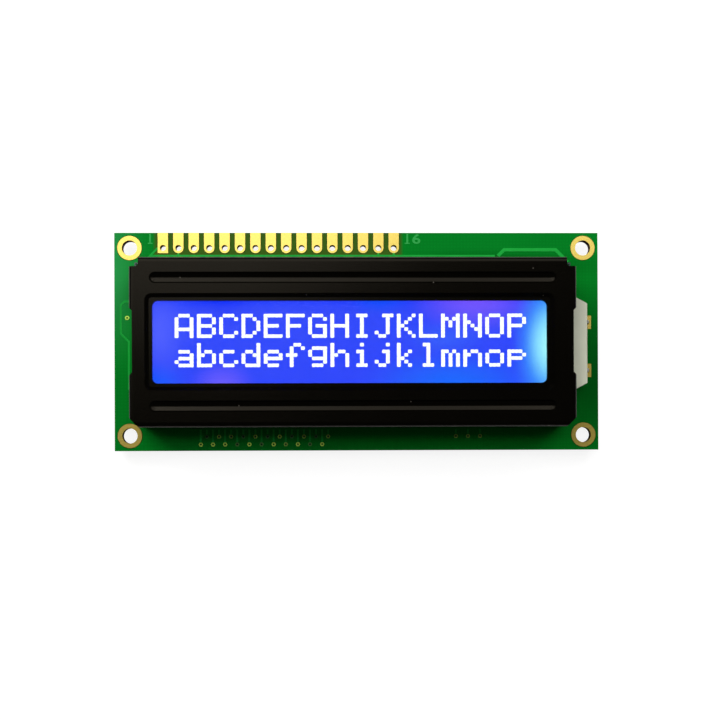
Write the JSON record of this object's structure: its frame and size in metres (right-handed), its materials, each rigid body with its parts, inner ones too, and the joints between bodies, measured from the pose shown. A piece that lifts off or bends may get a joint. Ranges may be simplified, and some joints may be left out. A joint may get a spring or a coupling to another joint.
{
  "type": "character lcd module",
  "caption": "Character display module: green board with a header row, black steel bezel round a blue lit display, white side lug, and sealed chips on the back.",
  "frame": {"origin": "middle of the board's outline, on the plane that the tips of the bezel's tabs rest on", "axes": "+X along the board's long side to the backlight lug, +Y towards the header row, +Z out of the display"},
  "size_m": [0.08, 0.036, 0.011],
  "materials": {
    "board": "glass-fibre laminate with green solder mask",
    "masked_copper": "copper track under green solder mask",
    "gold_plating": "thin gold over copper",
    "bezel_paint": "semi-matte black paint on pressed steel",
    "front_film": "polarising film with a gloss face",
    "display_glass": "clear cut glass",
    "lit_display": "lit blue liquid crystal",
    "sealant": "cured resin",
    "rear_film": "polarising film",
    "contact_rubber": "layered silicone rubber",
    "white_film": "white film",
    "clear_acrylic": "polished acrylic",
    "frame_plastic": "moulded off-white plastic",
    "led_package": "moulded package with yellow phosphor",
    "tinned_metal": "bright tin",
    "black_epoxy": "cured black epoxy",
    "resistor_body": "glazed black ceramic",
    "capacitor_body": "fired brown ceramic"
  },
  "bodies": {
    "root": {"circuit_board": "board", "front_tracks": "masked_copper", "header_pads": "gold_plating", "mounting_rings": "gold_plating", "signal_vias": "gold_plating", "backlight_pads": "gold_plating", "bezel": "bezel_paint", "front_polariser": "front_film", "front_glass": "display_glass", "liquid_crystal_film": "lit_display", "cell_seal": "sealant", "rear_glass": "display_glass", "rear_polariser": "rear_film", "fill_port_plug": "sealant", "upper_contact_strip": "contact_rubber", "lower_contact_strip": "contact_rubber", "diffuser_film": "white_film", "light_guide": "clear_acrylic", "reflector_film": "white_film", "backlight_frame": "frame_plastic", "led_board": "board", "side_leds": "led_package", "anode_lead": "tinned_metal", "cathode_lead": "tinned_metal", "lead_solder": "tinned_metal", "controller_blob": "black_epoxy", "driver_blob": "black_epoxy", "chip_resistors": "resistor_body", "chip_capacitors": "capacitor_body", "chip_terminals": "tinned_metal"}
  },
  "joints": []
}
